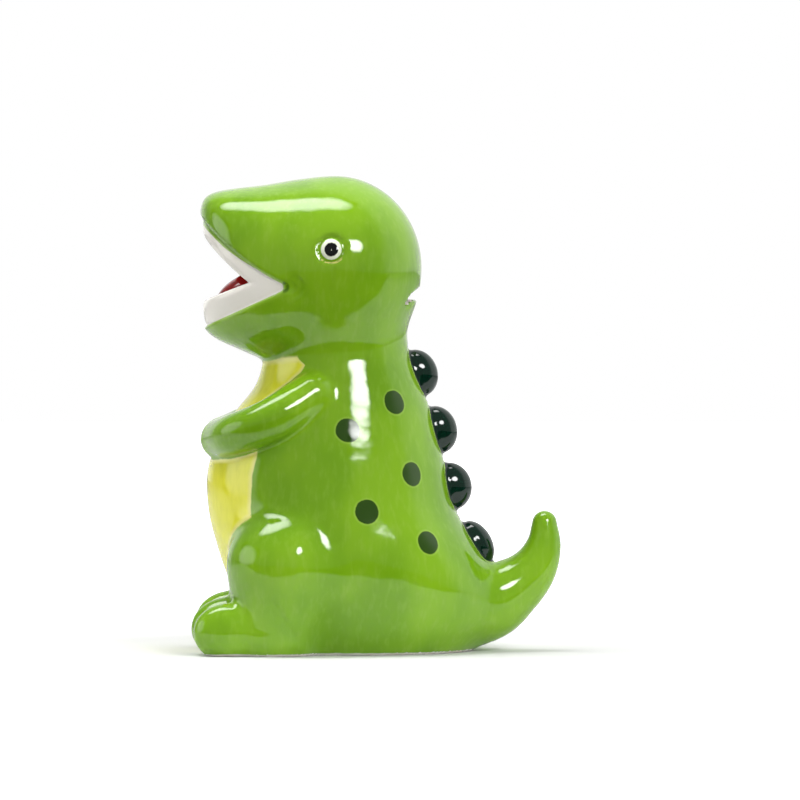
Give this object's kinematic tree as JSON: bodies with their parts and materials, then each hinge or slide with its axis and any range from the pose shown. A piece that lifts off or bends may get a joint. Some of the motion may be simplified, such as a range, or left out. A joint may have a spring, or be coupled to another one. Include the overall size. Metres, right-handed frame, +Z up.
{
  "type": "dinosaur coin bank",
  "caption": "Hollow ceramic sitting dinosaur coin bank with an open mouth, a coin slot in the nape and a stoppered hole in its base.",
  "frame": {"origin": "on the surface it stands on, below the centre of the figure's bounding box", "axes": "+Z up, snout towards -Y, +X to the figure's left"},
  "size_m": [0.1134, 0.155, 0.2003],
  "materials": {
    "glazed_ceramic": "hand-painted underglaze colours, mostly leaf green, under a clear gloss glaze",
    "stopper_rubber": "matt black moulded rubber"
  },
  "bodies": {
    "root": {"dinosaur_body": "glazed_ceramic", "stopper": "stopper_rubber"}
  },
  "joints": []
}
